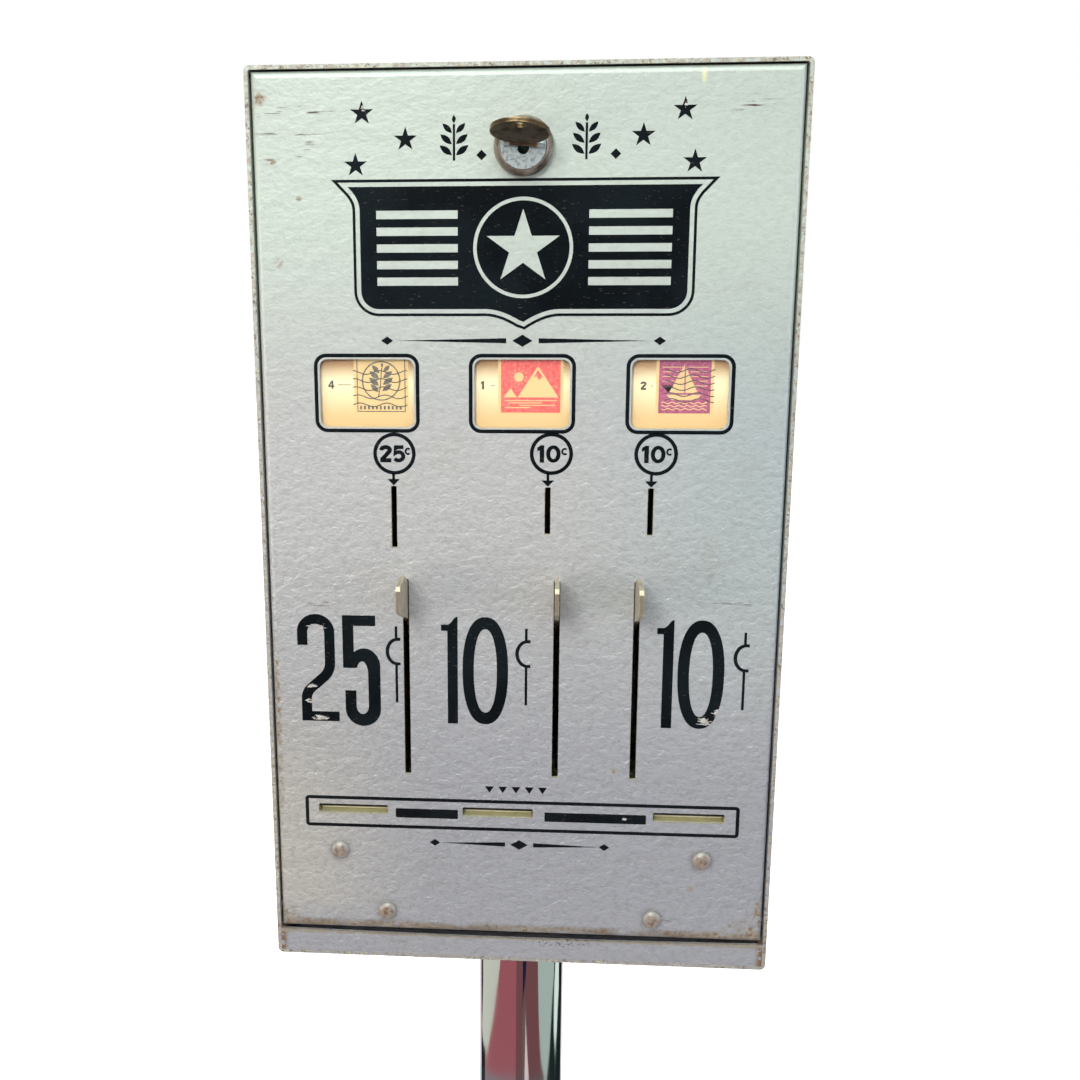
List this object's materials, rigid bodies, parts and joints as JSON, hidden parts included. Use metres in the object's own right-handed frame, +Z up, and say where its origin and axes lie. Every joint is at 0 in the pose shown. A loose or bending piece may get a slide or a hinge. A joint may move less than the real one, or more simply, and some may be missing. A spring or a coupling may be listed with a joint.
{
  "type": "stamp vending machine",
  "caption": "Coin-operated stamp folder vending machine: silver sheet-metal case with drop-front door, levers, coin slots, sample windows and lock, on a chromed post with a cast base.",
  "frame": {"origin": "on the floor, on the axis of the post", "axes": "+Z up, front of the machine towards -Y, +X to the right seen from the front"},
  "size_m": [0.356, 0.356, 1.301],
  "materials": {
    "silver_paint": "silver-grey hammertone enamel, worn at the edges",
    "plated_steel": "zinc plated sheet and turned parts",
    "chrome": "bright chromium plate",
    "cast_base": "black enamelled casting",
    "rubber": "plain moulded rubber",
    "nickel": "worn nickel plate over brass",
    "brass": "dull brass",
    "lock_metal": "worn plated zinc casting",
    "pane": "clear sheet",
    "card": "cream card, printed",
    "folder": "folded light card",
    "weight": "plain grey casting"
  },
  "bodies": {
    "housing": {"housing_shell": "silver_paint", "back_panel": "silver_paint", "bottom_lip": "silver_paint", "hinge_pins": "plated_steel", "stay_studs": "plated_steel", "lock_strike": "plated_steel", "cash_box": "plated_steel", "post_flange": "plated_steel", "flange_bolts": "plated_steel", "post": "chrome", "stand_base": "cast_base", "base_screws": "plated_steel", "base_feet": "rubber"},
    "door": {"door_panel": "silver_paint", "hinge_plates": "plated_steel", "door_brackets": "plated_steel", "door_rivets": "plated_steel", "window_panes": "pane", "card_frames": "plated_steel", "sample_card_left": "card", "sample_card_middle": "card", "sample_card_right": "card", "mechanism_deck": "plated_steel", "guide_rods": "plated_steel", "lever_shaft": "plated_steel", "shaft_collars": "brass", "lever_springs": "plated_steel", "magazine_left": "plated_steel", "magazine_middle": "plated_steel", "magazine_right": "plated_steel", "folder_stack_left": "folder", "folder_stack_middle": "folder", "folder_stack_right": "folder", "coin_chute_left": "brass", "coin_chute_middle": "brass", "coin_chute_right": "brass", "lock_body": "lock_metal", "lock_nut": "plated_steel"},
    "lock": {"lock_plug": "plated_steel", "lock_cam": "plated_steel", "disc_pin": "plated_steel"},
    "lock_disc": {"lock_disc": "brass"},
    "lever_left": {"lever_left": "nickel"},
    "ejector_left": {"ejector_left": "plated_steel"},
    "folder_left": {"next_folder_left": "folder"},
    "follower_left": {"follower_left": "weight"},
    "lever_middle": {"lever_middle": "nickel"},
    "ejector_middle": {"ejector_middle": "plated_steel"},
    "folder_middle": {"next_folder_middle": "folder"},
    "follower_middle": {"follower_middle": "weight"},
    "lever_right": {"lever_right": "nickel"},
    "ejector_right": {"ejector_right": "plated_steel"},
    "folder_right": {"next_folder_right": "folder"},
    "follower_right": {"follower_right": "weight"}
  },
  "joints": [
    {"name": "door_drop", "type": "hinge", "parent": "housing", "child": "door", "pos_m": [0, -0.0565, 0.9403], "axis": [1, 0, 0], "range_deg": [0, 75]},
    {"name": "lock_turn", "type": "hinge", "parent": "door", "child": "lock", "pos_m": [0, -0.0635, 1.27], "axis": [0, 1, 0], "range_deg": [0, 90]},
    {"name": "disc_swing", "type": "hinge", "parent": "lock", "child": "lock_disc", "pos_m": [0.00008, -0.0731, 1.2711], "axis": [0.9976, 0, -0.0698], "range_deg": [-66, 106]},
    {"name": "lever_left_push", "type": "hinge", "parent": "door", "child": "lever_left", "pos_m": [-0.048, 0.0365, 1.0522], "axis": [1, 0, 0], "range_deg": [0, 37.8], "stiffness_Nm_per_rad": 0.25, "springref_deg": -25.78},
    {"name": "ejector_left_slide", "type": "slide", "parent": "door", "child": "ejector_left", "axis": [0, -1, 0], "range_m": [0, 0.0331]},
    {"name": "folder_left_vend", "type": "slide", "parent": "door", "child": "folder_left", "axis": [0, -1, 0], "range_m": [0, 0.0331]},
    {"name": "lever_middle_push", "type": "hinge", "parent": "door", "child": "lever_middle", "pos_m": [0.015, 0.0365, 1.0522], "axis": [1, 0, 0], "range_deg": [0, 37.8], "stiffness_Nm_per_rad": 0.25, "springref_deg": -25.78},
    {"name": "ejector_middle_slide", "type": "slide", "parent": "door", "child": "ejector_middle", "axis": [0, -1, 0], "range_m": [0, 0.0331]},
    {"name": "folder_middle_vend", "type": "slide", "parent": "door", "child": "folder_middle", "axis": [0, -1, 0], "range_m": [0, 0.0331]},
    {"name": "lever_right_push", "type": "hinge", "parent": "door", "child": "lever_right", "pos_m": [0.048, 0.0365, 1.0522], "axis": [1, 0, 0], "range_deg": [0, 37.8], "stiffness_Nm_per_rad": 0.25, "springref_deg": -25.78},
    {"name": "ejector_right_slide", "type": "slide", "parent": "door", "child": "ejector_right", "axis": [0, -1, 0], "range_m": [0, 0.0331]},
    {"name": "folder_right_vend", "type": "slide", "parent": "door", "child": "folder_right", "axis": [0, -1, 0], "range_m": [0, 0.0331]},
    {"name": "follower_left_lift", "type": "slide", "parent": "door", "child": "follower_left", "axis": [0, 0, 1], "range_m": [0, 0.02]},
    {"name": "follower_middle_lift", "type": "slide", "parent": "door", "child": "follower_middle", "axis": [0, 0, 1], "range_m": [0, 0.02]},
    {"name": "follower_right_lift", "type": "slide", "parent": "door", "child": "follower_right", "axis": [0, 0, 1], "range_m": [0, 0.02]}
  ],
  "couplings": [
    {"joint": "ejector_left_slide", "follows": "lever_left_push", "m_per_rad": 0.05002},
    {"joint": "folder_left_vend", "follows": "lever_left_push", "m_per_rad": 0.05002},
    {"joint": "ejector_middle_slide", "follows": "lever_middle_push", "m_per_rad": 0.05002},
    {"joint": "folder_middle_vend", "follows": "lever_middle_push", "m_per_rad": 0.05002},
    {"joint": "ejector_right_slide", "follows": "lever_right_push", "m_per_rad": 0.05002},
    {"joint": "folder_right_vend", "follows": "lever_right_push", "m_per_rad": 0.05002}
  ]
}
